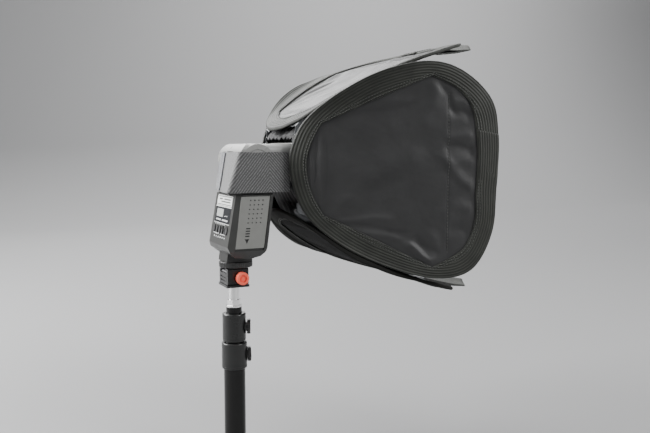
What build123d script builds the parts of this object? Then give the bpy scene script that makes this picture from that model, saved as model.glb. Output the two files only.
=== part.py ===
from build123d import *
import math
import os

# Shoe-mount flash with a fold-flat fabric softbox, clamped in a cold shoe on top of a telescopic stand riser.
# Millimetres.  X is the direction the light points, Z is up, Y is across.
# Everything is written from the top of the stand's stud (z = 0 there) and moved up by STUD_TOP on export,
# so that the row's origin is the foot of the stand column.

# ---------------------------------------------------------------- driving dimensions
STUD_TOP = 175.0  # column foot to stud top

# stand riser: three tubes, two clamp collars
COLUMN_R, MID_R, TOP_R = 11.0, 9.5, 8.0
TUBE_WALL = 1.0
SLIDE_GAP = 0.05
SPIGOT = 0.4  # how much thinner the column is inside the lower collar
UPPER_COLLAR = (-57.6, -28.6, 12.0)  # bottom z, top z, radius
LOWER_COLLAR = (-86.0, -58.8, 13.0)
COLLAR_LIP = 5.0  # height of the collar's top, which guides the thinner tube
UPPER_KNOB_TURN, LOWER_KNOB_TURN = -22.0, -14.0  # degrees about the column from +X
KNOB_R, KNOB_T = 7.6, 3.4
UPPER_KNOB_OUT, LOWER_KNOB_OUT = 1.3, 0.4  # from the collar's side to the knob
SCREW_R, SCREW_HOLE_R = 2.0, 2.06
TUBE_FEET = (9.0, 13.0)  # height of the guide ring on the middle riser's foot, above the column's foot
TOP_FEET = (14.0, 17.0)  # the same on the top riser
STUD_FLANGE_Z, HEX_Z, NECK_Z = -22.0, -20.5, -14.5

# cold shoe
SHOE_X = 11.0  # half length along the channel
SHOE_NEAR_Y, SHOE_FAR_Y = -14.5, 12.0
SHOE_FLANGE = 0.8
SHOE_FLOOR, LIP_TOP = 14.0, 19.0
FOOT_HALF, FOOT_T = 9.25, 2.0
CLAMP_X, CLAMP_Z = 3.0, 9.6  # axis of the clamp screw
JAW_Y, JAW_LIP_Y = -10.0, -6.5
LIP_Z = 16.6  # underside of the lips that hold the foot down
RED_KNOB_R, RED_KNOB_T = 6.4, 6.5

# flash body: a leaning box
BODY_TOP, BODY_HALF = 94.0, 34.0
REAR_TOP_X, SPLIT_TOP_X, FRONT_TOP_X = -6.8, -2.3, 31.0  # rear face, shell joint and front face at the top
LEAN = math.radians(7.6)  # of the front, the joint and the door
REAR_LEAN = math.radians(10.2)
WALL = 2.2
BEVEL = (3.8, 6.0)  # along the side and along the rear face
TUCK_Z = 41.0  # where the sides start to draw in
DOOR_Z = (41.5, 92.5)
DOOR_DEPTH = 2.2
RING_X, RING_R = 2.5, 17.0
RING_Z = (19.5, 25.2)
POST_R = 6.0
AA_R, AA_PITCH = 7.1, 14.6  # battery cell radius and spacing
CELL_Z = (68.5, 68.5 + AA_PITCH)
CELL_TOP_X = (6.8, 6.8 + AA_PITCH)

# flash head and its tilt axis
PIVOT_X, PIVOT_Z = 15.0, 127.0
HEAD_R = 19.5  # rear and underside, round about the tilt axis
SEAT_R = 20.6  # the saddle that it turns in
HEAD_HALF = 33.0
HEAD_BOTTOM, HEAD_TOP, HEAD_FRONT = PIVOT_Z - HEAD_R, 144.0, 62.0
HEAD_SPLIT = 124.5
SHOULDER_R = 7.5  # rounding along the top's sides
CHEEK_R, CHEEK_T = 16.8, 1.0
CAP_R, CAP_GAP = 10.9, 0.6
AXLE_R = 3.0
TONGUE_HALF = 9.0
SWIVEL_X = 10.0
SADDLE_BOTTOM = 94.4
SPINDLE_BOTTOM, SPINDLE_R = 91.2, 12.0
LAMP_X, LAMP_Z = 46.5, 122.5  # flash tube

# softbox: four hooped panels round the axis y = 0, z = AXIS_Z
AXIS_Z = 118.0
REAR_X, FRONT_X = 45.0, 230.0
REAR_D, FRONT_D = 43.0, 131.0  # distance of a panel from the axis
BULGE = 14.0  # how much a panel's middle stands out
REAR_W, FRONT_W = 51.0, 138.5  # half widths of the panel's outline before its corners are rounded
REAR_CORNER, FRONT_CORNER = 68.0, 61.0
BOTTOM_REAR_X = 51.5  # the bottom panel starts further forward, so that it swings clear of the flash body
BINDING_W, BINDING_T = 25.0, 4.0
CLOTH_T = 1.6
DIFFUSER_X, DIFFUSER_HALF = 184.0, 107.0
TAB_REACH, TAB_HALF = 52.0, 14.0

# strap round the head
STRAP_T = 1.4
STRAP_GAP = 0.6
STRAP_FRONT = 46.5
STRAP_BACK = ((-16.6, 96.5), (-4.0, 138.5))  # (x, z) of its lower and upper edges behind the head


# ---------------------------------------------------------------- small helpers
def block(x, y, z):
    """A box from three (low, high) pairs."""
    size = [high - low for low, high in (x, y, z)]
    centre = [(high + low) / 2 for low, high in (x, y, z)]
    return Pos(*centre) * Box(*size)


def rod_x(y, z, x, r):
    return Pos((x[0] + x[1]) / 2, y, z) * Rot(0, 90, 0) * Cylinder(r, x[1] - x[0])


def rod_y(x, z, y, r):
    return Pos(x, (y[0] + y[1]) / 2, z) * Rot(90, 0, 0) * Cylinder(r, y[1] - y[0])


def rod_z(x, y, z, r):
    return Pos(x, y, (z[0] + z[1]) / 2) * Cylinder(r, z[1] - z[0])


def tube_z(z, r, wall):
    return rod_z(0, 0, z, r) - rod_z(0, 0, z, r - wall)


def prism_y(points, y):
    """The polygon of (x, z) points, extruded from y[0] to y[1]."""
    face = make_face(Plane.XZ * Polyline(*points, close=True))
    return Pos(0, y[0], 0) * extrude(face, amount=y[1] - y[0], dir=(0, 1, 0))


def lean_x(x_at_top, z):
    """Where a line that leans with the flash body is at height z."""
    return x_at_top + (z - BODY_TOP) * math.tan(LEAN)


def leaning_slab(x, y, z):
    """A block whose front and rear lean with the body; x is given at the body's top."""
    low = [(lean_x(x_at_top, z[0]), z[0]) for x_at_top in x]
    high = [(lean_x(x_at_top, z[1]), z[1]) for x_at_top in reversed(x)]
    return prism_y(low + high, y)


def bored(shape, *tools):
    for tool in tools:
        shape = shape - tool
    return shape


def group(*shapes):
    return Compound(children=[s for shape in shapes for s in shape.solids()])


# ---------------------------------------------------------------- stand riser
def knurled_knob(r, t, teeth, depth):
    """A grip along +Z from z = 0, with round notches in its rim."""
    grip = rod_z(0, 0, (0, t), r)
    grip = chamfer(grip.edges().filter_by(GeomType.CIRCLE), 0.5)
    notch = rod_z(0, 0, (-1, t + 1), depth)
    for i in range(teeth):
        grip -= Rot(0, 0, 360 * i / teeth) * Pos(r + depth * 0.45, 0, 0) * notch
    return grip


def collar(span, r, tube_r, riser_r, turn, knob_out):
    """A moulded collar: it grips the outside of one tube and guides the thinner riser through its top."""
    low, high = span
    middle = (low + high) / 2
    body = rod_z(0, 0, (low, high), r)
    body = fillet(body.edges().filter_by(GeomType.CIRCLE), 1.4)
    body -= tube_z((low + 2.6, low + 3.2), r + 1, 1.3)
    boss = Rot(0, 0, turn) * rod_x(0, middle, (0, r + knob_out - 0.3), 5.0)
    screw_way = Rot(0, 0, turn) * rod_x(0, middle, (0, r + 4), SCREW_HOLE_R)
    socket = rod_z(0, 0, (low - 1, high - COLLAR_LIP), tube_r)
    guide = rod_z(0, 0, (low - 1, high + 1), riser_r + SLIDE_GAP)
    return bored(body + boss, socket, guide, screw_way)


def collar_knob(span, r, tube_r, turn, knob_out):
    """A clamp knob with its screw, which reaches in to the riser through the collar and the outer tube."""
    low, high = span
    grip = Rot(0, 90, 0) * knurled_knob(KNOB_R, KNOB_T, 14, 0.9)
    start = r + knob_out
    screw = rod_x(0, 0, (tube_r + 0.25, start + 1), SCREW_R)
    return Rot(0, 0, turn) * Pos(0, 0, (low + high) / 2) * (Pos(start, 0, 0) * grip + screw)


def screw_hole(span, turn):
    return Rot(0, 0, turn) * rod_x(0, sum(span) / 2, (0, 30), SCREW_HOLE_R)


def above_foot(span):
    return (span[0] - STUD_TOP, span[1] - STUD_TOP)


def make_stand():
    lower_span, lower_r = LOWER_COLLAR[:2], LOWER_COLLAR[2]
    upper_span, upper_r = UPPER_COLLAR[:2], UPPER_COLLAR[2]
    bore = COLUMN_R - TUBE_WALL
    column = rod_z(0, 0, (-STUD_TOP, lower_span[0]), COLUMN_R)
    column += rod_z(0, 0, (lower_span[0], lower_span[1] - COLLAR_LIP), COLUMN_R - SPIGOT)
    column = bored(column, rod_z(0, 0, (-STUD_TOP - 1, 0), bore), screw_hole(lower_span, LOWER_KNOB_TURN))
    plug = rod_z(0, 0, above_foot((0, 8)), bore)
    mid = tube_z((TUBE_FEET[1] - 1 - STUD_TOP, upper_span[1] - COLLAR_LIP), MID_R, TUBE_WALL)
    mid -= screw_hole(upper_span, UPPER_KNOB_TURN)
    mid += tube_z(above_foot(TUBE_FEET), bore - SLIDE_GAP, bore - SLIDE_GAP - MID_R + TUBE_WALL)
    top = tube_z((TOP_FEET[1] - 1 - STUD_TOP, STUD_FLANGE_Z), TOP_R, TUBE_WALL)
    top += tube_z(above_foot(TOP_FEET), MID_R - TUBE_WALL - SLIDE_GAP, 1.4)
    # stud: pressed into the riser, flange, hexagon, neck, and the thread that the shoe screws on
    hexagon = Pos(0, 0, HEX_Z) * extrude(RegularPolygon(7.0, 6), amount=NECK_Z - HEX_Z)
    stud = rod_z(0, 0, (STUD_FLANGE_Z - 18, STUD_FLANGE_Z), TOP_R - TUBE_WALL)
    stud += rod_z(0, 0, (STUD_FLANGE_Z, HEX_Z), TOP_R) + hexagon
    stud += rod_z(0, 0, (NECK_Z, 0), 5.3) + rod_z(0, 0, (0, 7.0), 3.1)
    return {
        "column_tube": column,
        "column_plug": plug,
        "lower_collar": collar(
            lower_span, lower_r, COLUMN_R - SPIGOT, MID_R, LOWER_KNOB_TURN, LOWER_KNOB_OUT
        ),
        "lower_collar_knob": collar_knob(lower_span, lower_r, MID_R, LOWER_KNOB_TURN, LOWER_KNOB_OUT),
        "mid_riser": mid,
        "upper_collar": collar(upper_span, upper_r, MID_R, TOP_R, UPPER_KNOB_TURN, UPPER_KNOB_OUT),
        "upper_collar_knob": collar_knob(upper_span, upper_r, TOP_R, UPPER_KNOB_TURN, UPPER_KNOB_OUT),
        "top_riser": top,
        "stud": stud,
    }


# ---------------------------------------------------------------- cold shoe
def make_shoe():
    flange_x = SHOE_X + SHOE_FLANGE
    over_x = SHOE_X + 1
    flange = block((-flange_x, flange_x), (JAW_Y - 4.6, SHOE_FAR_Y + SHOE_FLANGE), (0, 2.4))
    core = block((-SHOE_X, SHOE_X), (JAW_Y + 0.4, SHOE_FAR_Y), (2.4, LIP_TOP))
    channel = block((-over_x, over_x), (JAW_Y - 2, FOOT_HALF + 0.15), (SHOE_FLOOR, LIP_Z))
    mouth = block((-over_x, over_x), (JAW_Y - 2, -JAW_LIP_Y), (LIP_Z - 0.6, LIP_TOP + 1))
    thread = rod_z(0, 0, (-1, 7.3), 3.15)
    screw_way = rod_y(CLAMP_X, CLAMP_Z, (-30, 4), SCREW_HOLE_R)
    # shallow slots across both ends of the block
    shoe = bored(flange + core, channel, mouth, thread, screw_way)
    for x in (-SHOE_X, SHOE_X):
        for z in (5.4, 9.0):
            shoe -= block((x - 0.7, x + 0.7), (-7, 9), (z, z + 1.6))
    # the near side of the channel is a loose jaw that the screw draws in
    jaw = block((-SHOE_X, SHOE_X), (SHOE_NEAR_Y, JAW_Y), (2.7, LIP_TOP))
    jaw += block((-SHOE_X, SHOE_X), (JAW_Y, JAW_LIP_Y), (LIP_Z, LIP_TOP))
    jaw = chamfer(jaw.edges().filter_by(Axis.X).group_by(Axis.Y)[0], 0.8)
    jaw -= rod_y(CLAMP_X, CLAMP_Z, (-30, 0), SCREW_HOLE_R)
    grip = Rot(90, 0, 0) * knurled_knob(RED_KNOB_R, RED_KNOB_T, 20, 0.55)
    cup = rod_z(0, 0, (4.5, 7), 3.9) - rod_z(0, 0, (4.5, 6.2), 1.9)
    grip -= Rot(90, 0, 0) * cup
    knob = Pos(CLAMP_X, SHOE_NEAR_Y - 0.5, CLAMP_Z) * grip
    screw = rod_y(CLAMP_X, CLAMP_Z, (SHOE_NEAR_Y - 1, 1.5), SCREW_R)
    return {"cold_shoe": shoe, "clamp_jaw": jaw, "clamp_knob": knob + screw}


# ---------------------------------------------------------------- flash body
REAR_NORMAL = (-math.cos(REAR_LEAN), 0, math.sin(REAR_LEAN))


def rear_x(z):
    """Where the rear face is at height z."""
    return REAR_TOP_X + (z - BODY_TOP) * math.tan(REAR_LEAN)


def rear_place(y, z, out=0.0):
    """A plane on the rear face at (y, z): its x runs towards -Y, its y up the face, its z straight out."""
    origin = Vector(rear_x(z), y, z) + Vector(*REAR_NORMAL) * out
    return Plane(origin=origin, x_dir=(0, -1, 0), z_dir=REAR_NORMAL)


def rear_pad(sketch, y, z, low, high):
    """A sketch standing on the rear face, from `low` to `high` along the face's outward direction."""
    return extrude(rear_place(y, z, low) * sketch, amount=high - low)


def body_outline(grow):
    """The body's side outline, moved in by -grow."""
    front = FRONT_TOP_X + grow
    return [
        (rear_x(BODY_TOP) - grow, BODY_TOP + grow),
        (rear_x(43) - grow, 43),
        (rear_x(43) + 1.8 - grow, 38 - grow / 2),
        (rear_x(43) + 9.5, 31.5 - grow),
        (10, 29.5 - grow),
        (lean_x(front, 34) - 3.0, 32.4 - grow),
        (lean_x(front, 37), 36.5 - grow / 2),
        (lean_x(front, BODY_TOP), BODY_TOP + grow),
    ]


def body_solid():
    solid = prism_y(body_outline(0), (-BODY_HALF, BODY_HALF))
    verticals = [e for e in solid.edges() if e.length > 50 and abs(e.tangent_at(0).Z) > 0.9]
    rear = sorted(verticals, key=lambda e: e.center().X)[:2]
    solid = chamfer(rear, *BEVEL)
    # the underside is drawn in on both sides
    for side in (-1, 1):
        inner, outer = side * 23, side * 40
        corners = [(outer, TUCK_Z), (side * BODY_HALF, TUCK_Z), (inner, 29), (inner, 20), (outer, 20)]
        wedge = make_face(Plane.YZ * Polyline(*corners, close=True))
        solid -= Pos(-40, 0, 0) * extrude(wedge, amount=90, dir=(1, 0, 0))
    return solid


def door_span(grow):
    """x limits of the battery door at the body's top."""
    return (SPLIT_TOP_X - grow, FRONT_TOP_X - 3.2 + grow)


DOOR_AXIS_X = FRONT_TOP_X - 3.2 - DOOR_DEPTH / 2  # at the body's top
DOOR_AXIS_Y = -BODY_HALF + DOOR_DEPTH / 2


def leaning_rod(x_at_top, y, z, r):
    """A rod along the body's lean, between two heights."""
    low = Vector(lean_x(x_at_top, z[0]), y, z[0])
    high = Vector(lean_x(x_at_top, z[1]), y, z[1])
    along = high - low
    return Plane(origin=low, z_dir=along) * Pos(0, 0, along.length / 2) * Cylinder(r, along.length)


def make_door():
    low, high = DOOR_Z
    span = door_span(0)
    door = leaning_slab((span[0], DOOR_AXIS_X), (-BODY_HALF, -BODY_HALF + DOOR_DEPTH), DOOR_Z)
    edge = leaning_rod(DOOR_AXIS_X, DOOR_AXIS_Y, (low - 2, high + 2), DOOR_DEPTH / 2)
    door += edge & block((-60, 60), (-60, 60), DOOR_Z)
    # finger grip: four columns of small dimples
    for column in range(4):
        for row in range(6):
            z = 88.8 - 4.4 * row
            x = lean_x(7.6 + 4.3 * column, z)
            door -= Pos(x, -BODY_HALF - 0.35, z) * Sphere(0.9)
    arrow = prism_y([(2.6, 46.5), (0.2, 51.0), (5.0, 51.0)], (-BODY_HALF - 1, -BODY_HALF + 0.4))
    door -= arrow
    bore = leaning_rod(DOOR_AXIS_X, DOOR_AXIS_Y, (low - 3, high + 3), 0.66)
    pin = leaning_rod(DOOR_AXIS_X, DOOR_AXIS_Y, (low + 1, high - 1), 0.6)
    plate_y = (-BODY_HALF + DOOR_DEPTH, -BODY_HALF + DOOR_DEPTH + 0.5)
    plate = leaning_slab((span[0] + 3, span[1] - 5), plate_y, (56, 90))
    return {"battery_door": door - bore, "door_hinge_pin": pin, "door_contact_plate": plate}


BUTTONS = {"button_mode": 18.0, "button_minus": 9.5, "button_plus": 1.0}
BUTTON_Z, SWITCH_Y, PILOT_Y = 58.0, -7.5, -18.0


def oblong(w, h):
    return RectangleRounded(w, h, min(w, h) * 0.45)


def make_controls():
    parts = {}
    for name, y in BUTTONS.items():
        cap = oblong(4.2, 7.2)
        parts[name] = rear_pad(cap, y, BUTTON_Z, -WALL - 0.8, 1.1)
    parts["power_switch"] = rear_pad(oblong(4.0, 5.0), SWITCH_Y, BUTTON_Z - 1.0, -WALL - 0.8, 1.2)
    pilot = rear_pad(Circle(4.4), PILOT_Y, BUTTON_Z, -WALL - 0.8, 1.0)
    parts["pilot_button"] = pilot - rear_pad(Circle(3.2), PILOT_Y, BUTTON_Z, 0.6, 2.0)
    parts["display_window"] = rear_pad(RectangleRounded(46, 15.5, 1.2), 0, 72.5, -0.9, 0.15)
    parts["name_plate"] = rear_pad(RectangleRounded(46, 10.5, 1.0), 0, 87.0, -0.6, 0.2)
    lamps = [rear_pad(Circle(0.9), 16 - 6.4 * i, 50.5, -0.8, 0.25) for i in range(6)]
    parts["indicator_lamps"] = group(*lamps)
    return parts


def control_cuts():
    cuts = [rear_pad(oblong(4.6, 7.6), y, BUTTON_Z, -6, 3) for y in BUTTONS.values()]
    cuts.append(rear_pad(oblong(4.4, 9.0), SWITCH_Y, BUTTON_Z, -6, 3))
    cuts.append(rear_pad(Circle(4.65), PILOT_Y, BUTTON_Z, -6, 3))
    cuts.append(rear_pad(RectangleRounded(46, 15.5, 1.2), 0, 72.5, -0.9, 3))
    cuts.append(rear_pad(RectangleRounded(46, 10.5, 1.0), 0, 87.0, -0.6, 3))
    cuts += [rear_pad(Circle(0.9), 16 - 6.4 * i, 50.5, -0.8, 3) for i in range(6)]
    return cuts


def make_flash_body():
    outer = body_solid()
    roomy = leaning_slab(
        (REAR_TOP_X + 5.4, FRONT_TOP_X - WALL), (-BODY_HALF + WALL, BODY_HALF - WALL), (42, BODY_TOP - WALL)
    )
    inner = prism_y(body_outline(-WALL), (-26.0, 26.0)) + roomy
    shell = outer - inner
    rear_side = leaning_slab((SPLIT_TOP_X - 40, SPLIT_TOP_X), (-60, 60), (10, BODY_TOP + 5))
    rear_shell = bored(shell & rear_side, *control_cuts())
    front_shell = shell - rear_side
    doorway_y = (-60, -BODY_HALF + WALL + 0.05)
    doorway = leaning_slab(door_span(0.2), doorway_y, (DOOR_Z[0] - 6.5, DOOR_Z[1] + 0.2))
    front_shell = (front_shell - doorway).solids().sort_by(SortBy.VOLUME)[-1]
    # turntable socket in the roof
    front_shell -= rod_z(SWIVEL_X, 0, (80, 110), SPINDLE_R + 0.1)
    # red assist window over most of the front face
    window_x = (FRONT_TOP_X - 0.8, FRONT_TOP_X + 1.2)
    window = leaning_slab(window_x, (-30, 30), (38, 88))
    window = fillet(window.edges().filter_by(Axis.Y).group_by(Axis.X)[-1], 1.0)
    front_shell -= window
    post_hole = rod_z(RING_X, 0, (20, 45), POST_R + 0.05)
    pedestal_z = (RING_Z[1] + 0.5, 36.0)
    pedestal = block((-11.5, 15.5), (-13.5, 13.5), pedestal_z)
    pedestal = bored(pedestal, rear_side, inner, post_hole).solids().sort_by(SortBy.VOLUME)[-1]
    front_shell = bored(front_shell, post_hole) + pedestal
    return {"rear_shell": rear_shell, "front_shell": front_shell, "assist_window": window}


def make_flash_inside():
    cells = []
    springs = []
    for z in CELL_Z:
        for x_at_top in CELL_TOP_X:
            x = lean_x(x_at_top, z)
            cells.append(rod_y(x, z, (-25.0, 24.5), AA_R) + rod_y(x, z, (24.5, 25.5), 2.6))
            springs.append(rod_y(x, z, (25.6, 28.0), 4.0))
    board = leaning_slab((REAR_TOP_X + 3.2, REAR_TOP_X + 4.6), (-25, 25), (44, 90))
    return {
        "battery_cells": group(*cells),
        "cell_contacts": group(*springs),
        "circuit_board": board,
        "capacitor": rod_y(lean_x(11.5, 50), 50.5, (-22, 22), 8.5),
    }


def make_foot():
    """Foot plate, square neck between the shoe's lips, and the round post that carries the lock ring."""
    plate_z = (SHOE_FLOOR + 0.25, SHOE_FLOOR + 0.25 + FOOT_T)
    plate = block((RING_X - 12.2, RING_X + 6.6), (-FOOT_HALF, FOOT_HALF), plate_z)
    neck = block((RING_X - POST_R, RING_X + POST_R), (-POST_R, POST_R), (plate_z[1], RING_Z[0]))
    post = rod_z(RING_X, 0, (RING_Z[0], 33.0), POST_R)
    foot = plate + neck + post
    pins = [rod_z(RING_X - 3, 0, (plate_z[0] - 0.2, plate_z[0]), 1.1)]
    for x in (-5, 5):
        for y in (-4, 4):
            pins.append(rod_z(RING_X - 3 + x, y, (plate_z[0] - 0.2, plate_z[0]), 1.1))
    ring = rod_z(0, 0, RING_Z, RING_R)
    ring = chamfer(ring.edges().filter_by(GeomType.CIRCLE), 0.6)
    notch = rod_z(0, 0, (RING_Z[0] - 1, RING_Z[1] + 1), 0.7)
    for i in range(48):
        ring -= Rot(0, 0, 7.5 * i) * Pos(RING_R + 0.25, 0, 0) * notch
    ring = Pos(RING_X, 0, 0) * ring - rod_z(RING_X, 0, (0, 60), POST_R + 0.06)
    return {"foot_plate": foot, "contact_pins": group(*pins), "lock_ring": ring}


# ---------------------------------------------------------------- swivel and head
def make_swivel():
    """Saddle that turns on the body's roof; its tongue carries the tilt axle."""
    outline = [
        (STRAP_BACK[0][0] + 2.4, SADDLE_BOTTOM),
        (FRONT_TOP_X, SADDLE_BOTTOM),
        (FRONT_TOP_X, 103),
        (PIVOT_X + 12, PIVOT_Z - SEAT_R - 0.2),
        (PIVOT_X, PIVOT_Z - SEAT_R - 0.2),
        (0, 116),
        (-6.0, 116),
    ]
    saddle = prism_y(outline, (-31, 31))
    saddle -= rod_y(PIVOT_X, PIVOT_Z, (-60, 60), SEAT_R)
    # its rear is cut back towards the far side, where the strap runs closer
    cut_back = [(-30, -31), (STRAP_BACK[0][0] + 2.4, -31), (-5, 31), (-5, 40), (-30, 40)]
    saddle -= Pos(0, 0, 80) * extrude(make_face(Polyline(*cut_back, close=True)), amount=60)
    spindle = rod_z(SWIVEL_X, 0, (SPINDLE_BOTTOM, SADDLE_BOTTOM + 0.5), SPINDLE_R)
    tongue = block((PIVOT_X - 8.5, PIVOT_X + 8.5), (-TONGUE_HALF, TONGUE_HALF), (SADDLE_BOTTOM, PIVOT_Z))
    tongue += rod_y(PIVOT_X, PIVOT_Z, (-TONGUE_HALF, TONGUE_HALF), 8.5)
    tongue &= rod_y(PIVOT_X, PIVOT_Z, (-60, 60), 40)
    saddle = saddle.solids().sort_by(SortBy.VOLUME)[-1] + spindle + tongue
    axle = rod_y(PIVOT_X, PIVOT_Z, (-HEAD_HALF + 1, HEAD_HALF - 1), AXLE_R)
    return {"swivel_saddle": saddle - rod_y(PIVOT_X, PIVOT_Z, (-60, 60), AXLE_R), "tilt_axle": axle}


def head_block(grow):
    """The head's outside, moved in by -grow."""
    half = HEAD_HALF + grow
    top, bottom, front = HEAD_TOP + grow, HEAD_BOTTOM - grow, HEAD_FRONT - 8.0
    y = (-half, half)
    box = block((PIVOT_X - 40, front), y, (bottom, top))
    round_rear = rod_y(PIVOT_X, PIVOT_Z, y, HEAD_R + grow) + block((PIVOT_X, 90), y, (80, 160))
    solid = box & round_rear
    if grow == 0:
        long_edges = [e for e in solid.edges().filter_by(Axis.X) if e.center().Z > HEAD_TOP - 1]
        solid = fillet(long_edges, SHOULDER_R)
    return solid


def on_side(side, near, far):
    """A y span given outward from the middle, on the side that is +1 or -1."""
    return tuple(sorted((side * near, side * far)))


def make_cheek(side):
    """The raised round hinge cover on the head's side, drawn out to the front."""
    y = on_side(side, HEAD_HALF - 0.01, HEAD_HALF + CHEEK_T)
    disc = rod_y(PIVOT_X, PIVOT_Z, y, CHEEK_R)
    tail = block((PIVOT_X, HEAD_FRONT - 12), y, (PIVOT_Z - CHEEK_R + 0.8, HEAD_TOP - SHOULDER_R))
    # behind the rounded shoulder the disc is as deep as the shoulder
    backing = rod_y(PIVOT_X, PIVOT_Z, on_side(side, HEAD_HALF - SHOULDER_R, HEAD_HALF), CHEEK_R)
    return disc + tail + backing


def make_head_shells():
    outer = head_block(0)
    inner = head_block(-WALL)
    shell = outer
    for side in (-1, 1):
        shell += make_cheek(side)
    shell -= inner
    for side in (-1, 1):
        boss = on_side(side, HEAD_HALF - WALL - 6, HEAD_HALF - WALL + 0.01)
        shell += rod_y(PIVOT_X, PIVOT_Z, boss, 6.0)
        recess = on_side(side, HEAD_HALF, HEAD_HALF + 2)
        shell -= rod_y(PIVOT_X, PIVOT_Z, recess, CAP_R + CAP_GAP)
    # room for the tongue from pointing down to pointing back
    reach = PIVOT_X + TONGUE_HALF + 0.4
    sweep = rod_y(PIVOT_X, PIVOT_Z, (-TONGUE_HALF - 0.6, TONGUE_HALF + 0.6), 45)
    shell -= sweep & block((PIVOT_X - 60, reach), (-20, 20), (60, PIVOT_Z + TONGUE_HALF + 0.4))
    shell -= rod_y(PIVOT_X, PIVOT_Z, (-HEAD_HALF - 5, HEAD_HALF + 5), AXLE_R + 0.05)
    upper = shell & block((-60, 90), (-60, 60), (HEAD_SPLIT, 170))
    lower = shell & block((-60, 90), (-60, 60), (60, HEAD_SPLIT))
    return upper, lower


def make_head():
    upper, lower = make_head_shells()
    caps = []
    for side in (-1, 1):
        caps.append(rod_y(PIVOT_X, PIVOT_Z, on_side(side, HEAD_HALF, HEAD_HALF + 1.2), CAP_R))
    # bezel: the wider frame round the lens, with slots for the two pull-out panels
    window = ((-29, 29), (HEAD_BOTTOM + 3, 138.0))
    slot_x = (28, HEAD_FRONT + 2)
    rim = HEAD_HALF + 1
    bezel = block((HEAD_FRONT - 8, HEAD_FRONT), (-rim, rim), (HEAD_BOTTOM - 1, HEAD_TOP + 1))
    bezel = fillet(bezel.edges().filter_by(Axis.X), 4.5)
    bezel = bored(
        bezel,
        block((HEAD_FRONT - 9, HEAD_FRONT + 1), *window),
        block(slot_x, (-26.3, 26.3), (138.9, 140.1)),
        block(slot_x, (-22.3, 22.3), (140.6, 141.5)),
    )
    lens = block((HEAD_FRONT - 4, HEAD_FRONT - 1.2), *window)
    tab_x = (HEAD_FRONT + 0.4, HEAD_FRONT + 1.4)
    wide = block((30, tab_x[0]), (-26, 26), (139.1, 139.9)) + block(tab_x, (-5, 5), (138.4, 139.9))
    card = block((30, tab_x[0]), (-22, 22), (140.8, 141.3)) + block(tab_x, (-4, 4), (140.8, 142.0))
    return {
        "head_top_shell": upper,
        "head_bottom_shell": lower,
        "hinge_caps": group(*caps),
        "head_bezel": bezel,
        "flash_lens": lens,
        "reflector": make_reflector(),
        "flash_tube": rod_y(LAMP_X, LAMP_Z, (-27, 27), 1.9),
        "wide_panel": wide,
        "catchlight_card": card,
    }


def make_reflector():
    """A trough, open to the front, behind the lens."""
    half = 26.8
    front, rear = HEAD_FRONT - 4.2, 41.0
    outside = [(rear, 116), (rear, 129), (front, 137.6), (front, 110.9)]
    inside = [(rear + 0.8, 116.6), (rear + 0.8, 128.4), (front + 1, 136.9), (front + 1, 111.6)]
    shell = prism_y(outside, (-half - 0.8, half + 0.8)) - prism_y(inside, (-half, half))
    return shell - rod_y(LAMP_X, LAMP_Z, (-40, 40), 2.0)


# ---------------------------------------------------------------- softbox
def bulge_circle():
    """Centre and radius of the arc that a panel's outer face follows, as (x, distance from the axis)."""
    ax, ad = REAR_X, REAR_D
    bx, bd = (REAR_X + FRONT_X) / 2, (REAR_D + FRONT_D) / 2 + BULGE
    cx, cd = FRONT_X, FRONT_D
    det = 2 * (ax * (bd - cd) + bx * (cd - ad) + cx * (ad - bd))
    sa, sb, sc = ax**2 + ad**2, bx**2 + bd**2, cx**2 + cd**2
    ux = (sa * (bd - cd) + sb * (cd - ad) + sc * (ad - bd)) / det
    ud = (sa * (cx - bx) + sb * (ax - cx) + sc * (bx - ax)) / det
    return ux, ud, math.hypot(ax - ux, ad - ud)


def bulged_sheet(outer, thickness):
    """The top panel's curved sheet, `outer` mm inside its outer face, much wider than the panel."""
    ux, ud, r = bulge_circle()
    wide = (-150, 150)
    ring = rod_y(ux, AXIS_Z + ud, wide, r - outer) - rod_y(ux, AXIS_Z + ud, wide, r - outer - thickness)
    return ring & block((REAR_X - 5, FRONT_X + 5), (-150, 150), (AXIS_Z + 20, AXIS_Z + 160))


def panel_outline(inset):
    """A panel's outline seen square on: a long trapezoid with round corners, moved in by `inset`."""
    corners = [(REAR_X, -REAR_W), (FRONT_X, -FRONT_W), (FRONT_X, FRONT_W), (REAR_X, REAR_W)]
    plate = make_face(Polyline(*corners, close=True))
    front = [v for v in plate.vertices() if v.X > (REAR_X + FRONT_X) / 2]
    plate = fillet(front, FRONT_CORNER)
    rear = [v for v in plate.vertices() if v.X < REAR_X + 1]
    plate = fillet(rear, REAR_CORNER)
    return offset(plate, -inset) if inset else plate


def column_over(sketch):
    return Pos(0, 0, AXIS_Z) * extrude(sketch, amount=180)


SIDES = {"top": 0, "left": -90, "bottom": 180, "right": 90}  # turns about the softbox's axis


def turned(shape, degrees):
    about = Pos(0, 0, AXIS_Z)
    return about * Rot(degrees, 0, 0) * about.inverse() * shape


def mitred(panel):
    """The top panel, cut off where it would run into its neighbours."""
    low, reach = AXIS_Z + 0.2, 200
    wedge = make_face(Plane.YZ * Polyline((0, low), (-reach, low + reach), (reach, low + reach), close=True))
    return panel & extrude(wedge, amount=300, dir=(1, 0, 0))


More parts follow.
